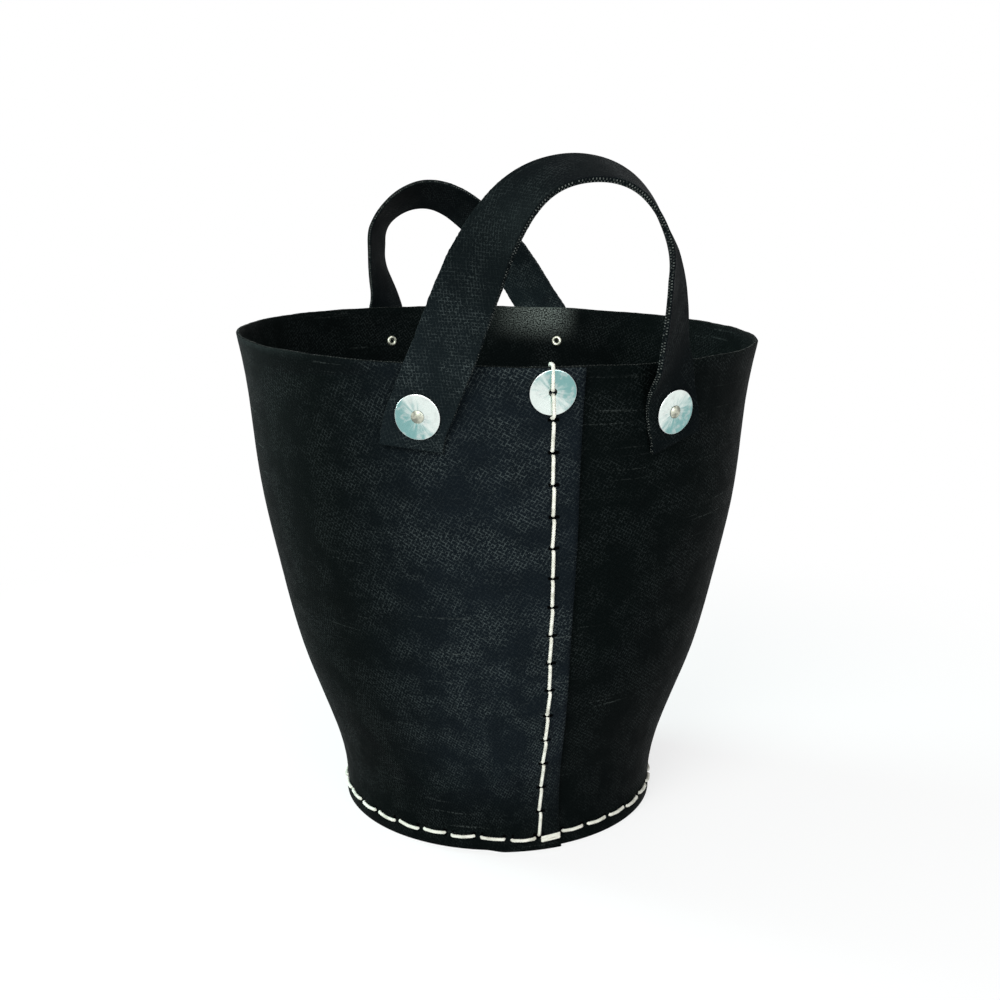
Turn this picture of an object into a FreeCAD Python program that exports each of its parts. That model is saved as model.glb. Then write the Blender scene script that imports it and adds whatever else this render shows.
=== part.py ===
# Hand-sewn rubber bucket planter with two twisted strap handles.
# Millimetres, +Z up. The origin is the middle of the foot, on the ground. The seam faces -Y.
# An azimuth is measured from the seam side (-Y) towards +X, in degrees.
import FreeCAD, Part
import math
import os
from FreeCAD import Vector

os.makedirs("parts", exist_ok=True)

# Bucket wall. The flare's share reached at even steps from the foot to the rim gives its belly.
HEIGHT = 370.0
FOOT_RADIUS = 124.0
RIM_RADIUS = 196.0
FLARE_SHARES = (0.0, 0.1139, 0.4194, 0.6222, 0.7986, 0.8819, 1.0)
SHEET = 3.0
RIM_FALL = 0.016
RIM_FALL_AZIMUTH = 10.8
WALL_SECTIONS = 25

# The lap: the sheet's outer end, the flap, lies over its hidden end along the seam.
LAP_GAP = 0.3
SEAM_TOP_AZIMUTH = -0.8
SEAM_FOOT_AZIMUTH = 3.5
FLAP_TOP_AZIMUTH = 5.5
FLAP_FOOT_AZIMUTH = 11.2
HIDDEN_MARGIN = 14.0
RISE_START = -15.0
RISE_END = -8.0
PLAIN_COLUMNS = 24
RISE_COLUMNS = 7
FLAP_COLUMNS = 4

# Base disc, its rim turned down inside the wall.
BASE_TOP = 20.0
BASE_FOOT_CLEARANCE = 0.5
BASE_BEND = 5.0
BASE_SIDE_GAP = 0.3

# Cord and its holes. The seam takes two strands side by side.
CORD = 2.4
CORD_SIDES = 6
CORD_GAP = 0.3
CORD_BEND = 1.0
CORD_BEND_STEPS = 1
LANE = (CORD + CORD_GAP) / 2
HOLE = CORD + 2 * CORD_GAP
CORD_OUT = CORD_GAP + CORD / 2
HOLE_MARGIN = 3.0

# Stitches. Drops are measured down from the rim.
SEAM_WASHER_DROP = 15.7
SEAM_SECOND_HOLE_DROP = 34.4
SEAM_HOLES = 17
BASE_STITCHES = 38
BASE_STITCH_HEIGHT = 10.5
BASE_STITCH_LEAD = 2.4
BASE_STITCH_END_GAP = 2.5
BASE_STITCH_SPAN = 13.1
TACK_LEFT_INSET = 1.8
TACK_RIGHT_INSET = 1.4
TACK_WRAPS = 2
TACK_FOOT = 7.0

# Washers and rivets.
WASHER = 30.0
WASHER_THICKNESS = 1.3
WASHER_HOLE = 5.3
WASHER_CHAMFER = 0.35
RIVET_SHANK = 4.8
RIVET_HEAD = 8.6
RIVET_HEAD_HEIGHT = 1.5
RIVET_TAIL = 9.4
RIVET_BORE = 3.0
RIVET_CLEARANCE = 0.2
SEAT_GAP = 0.3
STRAP_GAP = 0.6
WASHER_GAP = 0.5

# Straps. Azimuths are measured from the middle of each strap, which is turned to its side.
# Each station between the two rim crossings: across, out past the rim, up past the rim, twist.
# A twist of 90 degrees turns the outer face away from the bucket, 0 turns it out of the arch.
STRAP_WIDTH = 42.0
STRAP = 3.5
STRAP_TAIL = 22.0
RIM_CROSSING_RISE = 2.0
HINGE_RISE = 7.0
HINGE_RADIUS = 14.0
HINGE_GAP = 0.3
FRONT = dict(name="front", turn=0.0, rivet_azimuth=25.6, rivet_drop=32.8,
             crossings=(-21.3, 23.3),
             stations=((-48.0, 18.0, 72.0, 55.0), (-14.0, 32.0, 113.0, 28.0),
                       (36.0, 30.0, 114.0, 22.0), (70.0, 15.0, 72.0, 33.0)))
REAR = dict(name="rear", turn=176.1, rivet_azimuth=23.3, rivet_drop=29.8,
            crossings=(-17.6, 22.7),
            stations=((-19.0, 11.0, 53.0, 72.0), (10.0, 25.0, 87.0, 46.0),
                      (51.0, 33.0, 97.0, 34.0), (85.0, 17.0, 62.0, 26.0)))
STRAP_WALL_STATIONS = 3
FACING_RUN = 60.0
STRAP_SECTIONS = 24

# The direction along the wall is taken over this height.
SLOPE_STEP = 3.0

UP = Vector(0, 0, 1)


def wall_profile():
    """The wall's outer profile: a smooth curve whose parameter is the height."""
    step = HEIGHT / (len(FLARE_SHARES) - 1)
    heights = [step * k for k in range(len(FLARE_SHARES))]
    radii = [FOOT_RADIUS + (RIM_RADIUS - FOOT_RADIUS) * share for share in FLARE_SHARES]
    curve = Part.BSplineCurve()
    curve.interpolate(Points=[Vector(r, 0, z) for r, z in zip(radii, heights)], Parameters=heights)
    return curve


PROFILE = wall_profile()


def radius(height):
    """Outer radius of the wall at a height."""
    return PROFILE.value(max(0.0, min(height, HEIGHT))).x


def eased(t):
    """A smooth step from 0 to 1."""
    t = max(0.0, min(t, 1.0))
    return t * t * (3 - 2 * t)


def rise(azimuth):
    """How far the lap lifts the outer layer, for azimuths from the hidden end round to the flap."""
    return (SHEET + LAP_GAP) * eased((azimuth - 360.0 - RISE_START) / (RISE_END - RISE_START))


def place(azimuth, out, height):
    """A point of the bucket. The hand-cut rim falls a little from one side to the other."""
    a = math.radians(azimuth)
    drop = RIM_FALL * out * math.sin(a + math.radians(RIM_FALL_AZIMUTH))
    return Vector(out * math.sin(a), -out * math.cos(a), height - drop * min(height / HEIGHT, 1.0))


def seam_azimuth(height):
    return SEAM_FOOT_AZIMUTH + (SEAM_TOP_AZIMUTH - SEAM_FOOT_AZIMUTH) * height / HEIGHT


def flap_azimuth(height):
    return FLAP_TOP_AZIMUTH + (FLAP_FOOT_AZIMUTH - FLAP_TOP_AZIMUTH) * (1 - height / HEIGHT) ** 3


def hidden_azimuth(height):
    return seam_azimuth(height) - math.degrees(HIDDEN_MARGIN / radius(height))


def spread(start, end, count):
    return [start + (end - start) * k / count for k in range(count)]


def spline(points, knots=None):
    curve = Part.BSplineCurve()
    if knots:
        curve.interpolate(Points=points, Parameters=knots)
    else:
        curve.interpolate(points)
    return curve.toShape()


def columns(height):
    """Azimuths round the sheet at one height, from the hidden end to the flap's edge."""
    start = hidden_azimuth(height)
    end = 360.0 + flap_azimuth(height)
    azimuths = spread(start, 360.0 + RISE_START, PLAIN_COLUMNS)
    azimuths += spread(360.0 + RISE_START, 360.0 + RISE_END, RISE_COLUMNS)
    return azimuths + spread(360.0 + RISE_END, end, FLAP_COLUMNS) + [end]


def wall_section(height):
    """The rolled sheet's outline at one height. All heights share their knots, for a light loft."""
    knots = columns(HEIGHT / 2)
    back = [knots[0] + knots[-1] - k for k in knots[::-1]]
    azimuths = columns(height)
    outer = [place(a, radius(height) + rise(a), height) for a in azimuths]
    inner = [place(a, radius(height) + rise(a) - SHEET, height) for a in azimuths]
    edges = [spline(outer, knots), Part.makeLine(outer[-1], inner[-1]),
             spline(inner[::-1], back), Part.makeLine(inner[0], outer[0])]
    return Part.Wire(edges)


def layer_lift(azimuth):
    """The lap's lift of the outer layer, which runs on from the seam round to the flap."""
    return rise(azimuth + 360.0 if azimuth < 180.0 else azimuth)


def local_axes(azimuth, out, height, lift=None):
    """A point off the wall's outer face, with the out and right directions there."""
    lift = layer_lift(azimuth) if lift is None else lift
    top = min(height + SLOPE_STEP, HEIGHT)
    point = place(azimuth, radius(height) + lift + out, height)
    low = place(azimuth, radius(height - SLOPE_STEP) + lift + out, height - SLOPE_STEP)
    upward = place(azimuth, radius(top) + lift + out, top) - low
    a = math.radians(azimuth)
    right = Vector(math.cos(a), math.sin(a), 0)
    return point, right.cross(upward).normalize(), right


def slot(azimuth, height, wide, tall, depth):
    """A bar through the wall, across its face, to cut a hole with. It starts outside the face."""
    point, outward, right = local_axes(azimuth, 0.0, height)
    upward = outward.cross(right)
    start = point + outward * HOLE_MARGIN
    corners = [start + right * (sx * wide / 2) + upward * (sz * tall / 2)
               for sx, sz in ((-1, -1), (1, -1), (1, 1), (-1, 1))]
    return Part.Face(Part.makePolygon(corners + corners[:1])).extrude(outward * -(depth + 2 * HOLE_MARGIN))


def seam_hole_heights():
    """Heights of the seam's holes from the washer's down to the foot row."""
    second = HEIGHT - SEAM_SECOND_HOLE_DROP
    pitch = (second - BASE_STITCH_HEIGHT) / (SEAM_HOLES - 2)
    return [HEIGHT - SEAM_WASHER_DROP] + [second - pitch * k for k in range(SEAM_HOLES - 1)]


def base_hole_azimuths():
    """Start and end of each running stitch round the foot."""
    first = FLAP_FOOT_AZIMUTH + BASE_STITCH_LEAD
    last = 360.0 + SEAM_FOOT_AZIMUTH - BASE_STITCH_END_GAP
    pitch = (last - first) / BASE_STITCHES
    span = math.degrees(BASE_STITCH_SPAN / radius(BASE_STITCH_HEIGHT))
    return [(first + pitch * k, first + pitch * k + span) for k in range(BASE_STITCHES)]


def tack_heights():
    return [TACK_FOOT + (CORD + CORD_GAP) * k for k in range(TACK_WRAPS)]


def tack_azimuths():
    return SEAM_FOOT_AZIMUTH + TACK_LEFT_INSET, FLAP_FOOT_AZIMUTH - TACK_RIGHT_INSET


def seam_slots():
    """The seam's holes, through both layers and, at the foot, the base's turned-down rim."""
    wide = 2 * LANE + HOLE
    depth = 3 * SHEET + 2 * LAP_GAP
    return [slot(seam_azimuth(z), z, wide, HOLE, depth) for z in seam_hole_heights()]


def base_slots():
    """The awl holes of the running stitches and the tack, through wall and turned-down rim."""
    depth = 3 * SHEET + 2 * LAP_GAP
    bars = []
    for pair in base_hole_azimuths():
        bars += [slot(a, BASE_STITCH_HEIGHT, HOLE, HOLE, depth) for a in pair]
    middle = sum(tack_heights()) / TACK_WRAPS
    tall = HOLE + (CORD + CORD_GAP) * (TACK_WRAPS - 1)
    return bars + [slot(a, middle, HOLE, tall, depth) for a in tack_azimuths()]


def rivet_seat(strap, side):
    """Where a rivet's axis leaves the wall's outer face, and its direction. Side is -1 or 1."""
    azimuth = strap["turn"] + side * strap["rivet_azimuth"]
    point, outward, right = local_axes(azimuth, 0.0, HEIGHT - strap["rivet_drop"], 0.0)
    return point, outward


def rivet_bars():
    """Bars for the rivet holes, through the wall and the strap."""
    bore = RIVET_SHANK + 2 * RIVET_CLEARANCE
    reach = SHEET + STRAP_GAP + STRAP + 2 * HOLE_MARGIN
    bars = []
    for strap in (FRONT, REAR):
        for side in (-1, 1):
            point, outward = rivet_seat(strap, side)
            bars.append(Part.makeCylinder(bore / 2, 2 * reach, point - outward * reach, outward))
    return bars


def make_wall():
    heights = [HEIGHT * k / (WALL_SECTIONS - 1) for k in range(WALL_SECTIONS)]
    return Part.makeLoft([wall_section(z) for z in heights], True, False)


def make_base():
    """A disc with a rounded shoulder and its rim turned down against the wall."""
    side = min(radius(BASE_TOP * k / 4) for k in range(4)) - SHEET - BASE_SIDE_GAP
    foot = BASE_FOOT_CLEARANCE
    bend = BASE_BEND - SHEET
    under = BASE_TOP - SHEET
    corner = side - BASE_BEND
    level = BASE_TOP - BASE_BEND
    half = math.sqrt(0.5)
    edges = [Part.makeLine(Vector(side, 0, foot), Vector(side, 0, level)),
             Part.Arc(Vector(side, 0, level), Vector(corner + BASE_BEND * half, 0, level + BASE_BEND * half),
                      Vector(corner, 0, BASE_TOP)).toShape(),
             Part.makeLine(Vector(corner, 0, BASE_TOP), Vector(0, 0, BASE_TOP)),
             Part.makeLine(Vector(0, 0, BASE_TOP), Vector(0, 0, under)),
             Part.makeLine(Vector(0, 0, under), Vector(corner, 0, under)),
             Part.Arc(Vector(corner, 0, under), Vector(corner + bend * half, 0, level + bend * half),
                      Vector(side - SHEET, 0, level)).toShape(),
             Part.makeLine(Vector(side - SHEET, 0, level), Vector(side - SHEET, 0, foot)),
             Part.makeLine(Vector(side - SHEET, 0, foot), Vector(side, 0, foot))]
    return Part.Face(Part.Wire(edges)).revolve(Vector(0, 0, 0), UP, 360)


# A corner takes at most this share of each run beside it, and a gentle one stays as it is.
CORNER_SHARE = 0.45
GENTLE_HALF_ANGLE = math.radians(80)


def rounded(vertices):
    """The route through the vertices, with each corner rounded by an arc of up to the bend radius."""
    points = [vertices[0]]
    for before, corner, after in zip(vertices, vertices[1:], vertices[2:]):
        to_before = before - corner
        to_after = after - corner
        room = CORNER_SHARE * min(to_before.Length, to_after.Length)
        to_before.normalize()
        to_after.normalize()
        half = math.acos(max(-1.0, min(1.0, to_before.dot(to_after)))) / 2
        if half > GENTLE_HALF_ANGLE:
            points.append(corner)
            continue
        r = min(CORD_BEND, room * math.tan(half))
        centre = corner + (to_before + to_after).normalize() * (r / math.sin(half))
        first = corner + to_before * (r / math.tan(half)) - centre
        last = corner + to_after * (r / math.tan(half)) - centre
        sweep = math.pi - 2 * half
        for k in range(CORD_BEND_STEPS + 1):
            t = k / CORD_BEND_STEPS
            mix = first * math.sin((1 - t) * sweep) + last * math.sin(t * sweep)
            points.append(centre + mix * (1 / math.sin(sweep)))
    return points + [vertices[-1]]


def cord_along(vertices):
    """A faceted cord: one ring of corners at each point, carried along without twist."""
    points = rounded(vertices)
    tangents = [(b - a).normalize() for a, b in zip(points[:1] + points[:-1], points[1:] + points[-1:])]
    side = tangents[0].cross(Vector(1, 2, 3)).normalize()
    rings = []
    for point, tangent in zip(points, tangents):
        side = (side - tangent * side.dot(tangent)).normalize()
        other = tangent.cross(side)
        corners = []
        for k in range(CORD_SIDES):
            a = 2 * math.pi * k / CORD_SIDES
            corners.append(point + (side * math.cos(a) + other * math.sin(a)) * (CORD / 2))
        rings.append(Part.makePolygon(corners + corners[:1]))
    return Part.makeLoft(rings, True, True)


def on_wall(azimuth, height, across, out):
    """A point beside a hole: across is to the right on the outer face, out is off that face."""
    point, outward, right = local_axes(azimuth, 0.0, height)
    return point + right * across + outward * out


def seam_strand(arrives_outside):
    """One end of the seam cord, from the top hole to the foot, in and out through each hole."""
    inside = -(2 * SHEET + LAP_GAP) - CORD_OUT
    past_base = inside - (SHEET + BASE_SIDE_GAP + LAP_GAP)
    heights = seam_hole_heights()
    count = len(heights) if arrives_outside else len(heights) - 1
    outside = arrives_outside
    vertices = []
    for z in heights[:count]:
        on_washer = z == heights[0]
        over = CORD_OUT + (SEAT_GAP + WASHER_THICKNESS if on_washer else 0.0)
        deep = past_base if z < BASE_TOP else inside
        lane = -LANE if outside else LANE
        pair = [on_wall(seam_azimuth(z), z, lane, over), on_wall(seam_azimuth(z), z, lane, deep)]
        vertices += pair if outside else pair[::-1]
        outside = not outside
        if on_washer and outside:
            edge = z - WASHER / 2
            vertices.append(on_wall(seam_azimuth(edge), edge, 0.0, over))
    return vertices


def make_seam_cord():
    """One cord: its middle goes over the rim, and both ends run down the seam."""
    top = HEIGHT + CORD_OUT
    a = seam_azimuth(HEIGHT)
    outer = place(a, radius(HEIGHT) + SHEET + LAP_GAP + CORD_OUT + WASHER_THICKNESS, top)
    inner = place(a, radius(HEIGHT) - SHEET - CORD_OUT, top)
    return cord_along(seam_strand(False)[::-1] + [inner, outer] + seam_strand(True))


def make_base_cord():
    """Running stitches round the foot, long outside and short inside."""
    z = BASE_STITCH_HEIGHT
    deep = radius(z) - 2 * SHEET - BASE_SIDE_GAP - LAP_GAP - CORD_OUT
    vertices = []
    for start, end in base_hole_azimuths():
        over = [place(a, radius(z) + rise(a) + CORD_OUT, z) for a in (start, (start + end) / 2, end)]
        vertices += [place(start, deep, z)] + over + [place(end, deep, z)]
    return cord_along(vertices)


def make_tack():
    """Wraps that tie the flap's lower corner down, beside the last hole of the seam."""
    left, right = tack_azimuths()
    vertices = []
    for z in tack_heights():
        deep = radius(z) - 2 * SHEET - BASE_SIDE_GAP - LAP_GAP - CORD_OUT
        over = radius(z) + SHEET + LAP_GAP + CORD_OUT
        vertices += [place(left, deep, z), place(left, over, z), place(right, over, z), place(right, deep, z)]
    return cord_along(vertices)


def turned(point, strap):
    a = math.radians(strap["turn"])
    return Vector(point.x * math.cos(a) - point.y * math.sin(a),
                  point.x * math.sin(a) + point.y * math.cos(a), point.z)


def strap_route(strap):
    """Stations of the strap's middle line, in the bucket's frame, with the twist at each."""
    off = STRAP_GAP + STRAP / 2

    def on_bucket(azimuth, height):
        return place(strap["turn"] + azimuth, radius(height) + off, height)

    left, right = strap["crossings"]
    rivet = strap["rivet_azimuth"]
    z = HEIGHT - strap["rivet_drop"]
    climb = strap["rivet_drop"] + RIM_CROSSING_RISE
    lifts = [-STRAP_TAIL] + [climb * k / STRAP_WALL_STATIONS for k in range(STRAP_WALL_STATIONS + 1)]
    rows = [(on_bucket(-rivet + (left + rivet) * lift / climb, z + lift), 90.0) for lift in lifts]
    for across, out, up, twist in strap["stations"]:
        point = turned(Vector(across, -(RIM_RADIUS + out), HEIGHT + up), strap)
        a = math.atan2(point.x, -point.y)
        drop = RIM_FALL * math.hypot(point.x, point.y) * math.sin(a + math.radians(RIM_FALL_AZIMUTH))
        rows.append((point - UP * drop, twist))
    for lift in lifts[::-1]:
        rows.append((on_bucket(rivet + (right - rivet) * lift / climb, z + lift), 90.0))
    return rows


def wall_normal(point):
    """The direction out of the wall beside a point, square to its flare."""
    low = min(point.z, HEIGHT) - SLOPE_STEP
    flare = (radius(low + SLOPE_STEP) - radius(low)) / SLOPE_STEP
    return (Vector(point.x, point.y, 0).normalize() - UP * flare).normalize()


def strap_frames(strap):
    """Points along the strap with its along, across and face directions."""
    rows = strap_route(strap)
    points = [row[0] for row in rows]
    curve = Part.BSplineCurve()
    curve.interpolate(points)
    params = [curve.parameter(p) for p in points]
    washer_foot = HEIGHT - strap["rivet_drop"] + WASHER / 4
    frames = []
    for k in range(STRAP_SECTIONS + 1):
        t = k / STRAP_SECTIONS
        u = params[0] + (params[-1] - params[0]) * t
        i = max(j for j in range(len(params) - 1) if params[j] <= u or j == 0)
        s = (u - params[i]) / (params[i + 1] - params[i])
        twist = math.radians(rows[i][1] + (rows[i + 1][1] - rows[i][1]) * eased(s))
        point = curve.value(u)
        along = curve.tangent(u)[0]
        at_rivet = wall_normal(points[1] if t < 0.5 else points[-2])
        leave = min(max((point.z - washer_foot) / (WASHER / 2), 0.0), 1.0)
        flat = at_rivet * (1 - leave) + wall_normal(point) * leave
        weight = min(max((point.z - HEIGHT - RIM_CROSSING_RISE) / FACING_RUN, 0.0), 1.0)
        out = flat * (1 - weight) + turned(Vector(0, -1, 0), strap) * weight
        out = (out - along * out.dot(along)).normalize()
        arch_out = out.cross(along)
        face = arch_out * math.cos(twist) + out * math.sin(twist)
        frames.append((point, along, along.cross(face), face))
    return frames


def make_strap(strap):
    """The whole twisted strap, before the handle is parted from its riveted ends."""
    sections = []
    for point, along, across, face in strap_frames(strap):
        corners = [point + across * (sx * STRAP_WIDTH / 2) + face * (sz * STRAP / 2)
                   for sx, sz in ((-1, -1), (1, -1), (1, 1), (-1, 1))]
        sections.append(Part.makePolygon(corners + corners[:1]))
    return Part.makeLoft(sections, True, False)


def hinge_line(strap):
    """Where the strap bends: a line through both legs just above the rim."""
    ends = []
    for azimuth in strap["crossings"]:
        point = place(strap["turn"] + azimuth, radius(HEIGHT) + STRAP_GAP + STRAP / 2, HEIGHT)
        ends.append(point + UP * HINGE_RISE)
    middle = (ends[0] + ends[1]) * 0.5
    return middle, (ends[1] - ends[0]).normalize()


def part_strap(strap):
    """Cuts the strap at its bend into a moving handle and two fixed ends."""
    whole = make_strap(strap)
    middle, axis = hinge_line(strap)
    reach = RIM_RADIUS
    below = Part.makeBox(4 * reach, 4 * reach, HEIGHT, Vector(-2 * reach, -2 * reach, middle.z - HEIGHT))

    def drum(r):
        return Part.makeCylinder(r, 2 * reach, middle - axis * reach, axis)

    ends = whole.common(below.fuse(drum(HINGE_RADIUS))).Solids
    arch = whole.cut(below.fuse(drum(HINGE_RADIUS + HINGE_GAP))).Solids
    return ends, arch


def turned_part(profile, point, outward):
    """Revolves a profile drawn in X (along the axis) and Y (its radius), and stands it on a point."""
    loop = [Part.makeLine(a, b) for a, b in zip(profile, profile[1:] + profile[:1])]
    solid = Part.Face(Part.Wire(loop)).revolve(Vector(0, 0, 0), Vector(1, 0, 0), 360)
    solid.Placement = FreeCAD.Placement(point, FreeCAD.Rotation(Vector(1, 0, 0), outward))
    return solid


def washer_at(point, outward):
    """A flat washer with its outer edges broken, its lower face at the point."""
    rim, hole, high = WASHER / 2, WASHER_HOLE / 2, WASHER_THICKNESS
    c = WASHER_CHAMFER
    profile = [Vector(0, hole, 0), Vector(0, rim - c, 0), Vector(c, rim, 0),
               Vector(high - c, rim, 0), Vector(high, rim - c, 0), Vector(high, hole, 0)]
    return turned_part(profile, point, outward)


def rivet_at(point, outward, grip):
    """A domed head on the washer, a tube through the layers and its end rolled over inside."""
    head, shank, tail, bore = RIVET_HEAD / 2, RIVET_SHANK / 2, RIVET_TAIL / 2, RIVET_BORE / 2
    dome = (head * head + RIVET_HEAD_HEIGHT**2) / (2 * RIVET_HEAD_HEIGHT)
    slant = math.asin(head / dome) / 2
    crown = Vector(RIVET_HEAD_HEIGHT, 0, 0)
    between = Vector(RIVET_HEAD_HEIGHT - dome * (1 - math.cos(slant)), dome * math.sin(slant), 0)
    roll = (tail - bore) / 2
    blind = -grip + 3 * roll
    edges = [Part.Arc(crown, between, Vector(0, head, 0)).toShape(),
             Part.makeLine(Vector(0, head, 0), Vector(0, shank, 0)),
             Part.makeLine(Vector(0, shank, 0), Vector(-grip, shank, 0)),
             Part.makeLine(Vector(-grip, shank, 0), Vector(-grip, tail, 0)),
             Part.Arc(Vector(-grip, tail, 0), Vector(-grip - roll, tail - roll, 0),
                      Vector(-grip, bore, 0)).toShape(),
             Part.makeLine(Vector(-grip, bore, 0), Vector(blind, bore, 0)),
             Part.makeLine(Vector(blind, bore, 0), Vector(blind, 0, 0)),
             Part.makeLine(Vector(blind, 0, 0), crown)]
    solid = Part.Face(Part.Wire(edges)).revolve(Vector(0, 0, 0), Vector(1, 0, 0), 360)
    solid.Placement = FreeCAD.Placement(point, FreeCAD.Rotation(Vector(1, 0, 0), outward))
    return solid


def strap_fasteners(strap, side):
    """The washer and the rivet at one foot of a strap."""
    point, outward = rivet_seat(strap, side)
    on_strap = point + outward * (STRAP_GAP + STRAP + WASHER_GAP)
    head_seat = on_strap + outward * WASHER_THICKNESS
    grip = WASHER_THICKNESS + WASHER_GAP + STRAP + STRAP_GAP + SHEET + SEAT_GAP
    return washer_at(on_strap, outward), rivet_at(head_seat, outward, grip)


def save(name, shape):
    """Writes a node's one solid."""
    solids = shape.Solids
    print(name, "solids", len(solids), "valid", shape.isValid(), "volume", round(shape.Volume, 1))
    solids[0].exportStep("parts/" + name + ".step")


def save_strap(strap, bores):
    """Writes a strap's handle, its two fixed ends and their fasteners."""
    name = strap["name"]
    ends, arch = part_strap(strap)
    save(name + "_handle", arch[0])
    sideways = turned(Vector(1, 0, 0), strap)
    ends.sort(key=lambda solid: solid.CenterOfMass.dot(sideways))
    for side, word, end in ((-1, "left", ends[0]), (1, "right", ends[-1])):
        washer, rivet = strap_fasteners(strap, side)
        save(name + "_strap_" + word, end.cut(bores))
        save(name + "_washer_" + word, washer)
        save(name + "_rivet_" + word, rivet)


def main():
    bores = Part.makeCompound(rivet_bars())
    holes = Part.makeCompound(seam_slots() + base_slots() + [bores])
    save("wall", make_wall().cut(holes))
    save("base", make_base().cut(Part.makeCompound(seam_slots()[-1:] + base_slots())))
    save("seam_cord", make_seam_cord())
    save("base_cord", make_base_cord())
    save("corner_tack", make_tack())
    height = HEIGHT - SEAM_WASHER_DROP
    point, outward, right = local_axes(seam_azimuth(height), SEAT_GAP, height)
    save("seam_washer", washer_at(point, outward))
    for strap in (FRONT, REAR):
        save_strap(strap, bores)


main()
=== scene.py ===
import bpy
import bmesh
import math
import numpy
import random
from mathutils import Matrix, Vector, noise
from mathutils.bvhtree import BVHTree


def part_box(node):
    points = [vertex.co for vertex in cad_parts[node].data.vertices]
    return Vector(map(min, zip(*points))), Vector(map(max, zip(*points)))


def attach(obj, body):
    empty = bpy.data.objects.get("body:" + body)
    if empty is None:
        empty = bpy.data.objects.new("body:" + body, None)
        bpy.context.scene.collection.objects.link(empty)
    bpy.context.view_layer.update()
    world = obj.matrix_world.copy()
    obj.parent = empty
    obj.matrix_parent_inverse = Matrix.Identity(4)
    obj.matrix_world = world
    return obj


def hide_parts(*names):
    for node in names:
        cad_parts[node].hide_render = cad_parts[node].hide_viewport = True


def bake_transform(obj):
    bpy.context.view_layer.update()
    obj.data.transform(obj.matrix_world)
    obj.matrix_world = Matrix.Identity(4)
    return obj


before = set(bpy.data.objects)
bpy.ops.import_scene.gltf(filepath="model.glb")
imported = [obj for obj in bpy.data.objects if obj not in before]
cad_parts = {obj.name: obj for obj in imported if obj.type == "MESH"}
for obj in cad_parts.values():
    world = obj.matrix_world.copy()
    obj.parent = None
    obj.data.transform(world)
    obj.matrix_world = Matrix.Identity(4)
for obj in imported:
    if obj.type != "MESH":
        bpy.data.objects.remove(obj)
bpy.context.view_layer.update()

# The view. The tub was photographed from a little left of its seam and a little above its rim,
# so that the mouth and the rear strap's rivets show.
scene = bpy.context.scene
scene.view_settings.view_transform = "Standard"
lens = bpy.data.cameras.new("view")
lens.sensor_width = 36.0
lens.lens = 46.94
camera = bpy.data.objects.new("view", lens)
camera.location = (-0.1852, -0.9809, 0.4839)
camera.rotation_euler = (math.radians(76.08), 0.0, math.radians(-10.8))
scene.collection.objects.link(camera)
scene.camera = camera


# The studio: a pale floor and four soft lamps. The key is high on the left, a weak one is in
# front on the right, a greenish one behind on the left draws a thin line of light down the
# tub's side, and a small one over the mouth lights the inside.
class Shade:
    """One output of a node. An expression on it adds Math nodes."""

    def __init__(self, tree, socket=None):
        self.tree = tree
        self.socket = socket

    def node(self, kind, settings, sockets, out=0):
        """Any node: its settings first, then the values or links of its sockets."""
        made = self.tree.nodes.new(kind)
        for key, value in settings.items():
            setattr(made, key, value)
        for key, value in sockets.items():
            if isinstance(value, Shade):
                self.tree.links.new(value.socket, made.inputs[key])
            else:
                made.inputs[key].default_value = value
        return Shade(self.tree, made.outputs[out] if made.outputs else None)

    def maths(self, operation, *terms):
        return self.node("ShaderNodeMath", {"operation": operation}, dict(enumerate(terms)))

    def __add__(self, other):
        return self.maths("ADD", self, other)

    def __radd__(self, other):
        return self.maths("ADD", other, self)

    def __sub__(self, other):
        return self.maths("SUBTRACT", self, other)

    def __rsub__(self, other):
        return self.maths("SUBTRACT", other, self)

    def __mul__(self, other):
        return self.maths("MULTIPLY", self, other)

    def __rmul__(self, other):
        return self.maths("MULTIPLY", other, self)

    def __truediv__(self, other):
        return self.maths("DIVIDE", self, other)

    def over(self, low, high):
        """0 up to low, 1 from high on, eased between; the other way round if low is the larger."""
        return self.node("ShaderNodeMapRange", {"interpolation_type": "SMOOTHSTEP"},
                         {0: self, 1: low, 2: high, 3: 0.0, 4: 1.0})

    def colour(self, low, high):
        """A colour between two, by this share of the second."""
        return self.node("ShaderNodeMix", {"data_type": "RGBA"}, {0: self, 6: low, 7: high}, 2)


def begin(name):
    """A new material and a start for its nodes."""
    material = bpy.data.materials.new(name)
    material.use_nodes = True
    material.node_tree.nodes.clear()
    return material, Shade(material.node_tree)


def seen(start):
    """1 where the camera, a reflection or glass looks, 0 where light bounces."""
    rays = [start.node("ShaderNodeLightPath", {}, {}, name)
            for name in ("Is Camera Ray", "Is Glossy Ray", "Is Transmission Ray")]
    return rays[0].maths("MAXIMUM", rays[0].maths("MAXIMUM", rays[0], rays[1]), rays[2])


world = bpy.data.worlds.new("studio")
world.use_nodes = True
world.node_tree.nodes.clear()
scene.world = world
air = Shade(world.node_tree)
bounce = air.node("ShaderNodeBackground", {}, {"Color": (1, 1, 1, 1), "Strength": 0.35})
white = air.node("ShaderNodeBackground", {}, {"Color": (1, 1, 1, 1), "Strength": 1.0})
sky = air.node("ShaderNodeMixShader", {}, {0: seen(air), 1: bounce, 2: white})
air.node("ShaderNodeOutputWorld", {}, {"Surface": sky})

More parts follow.
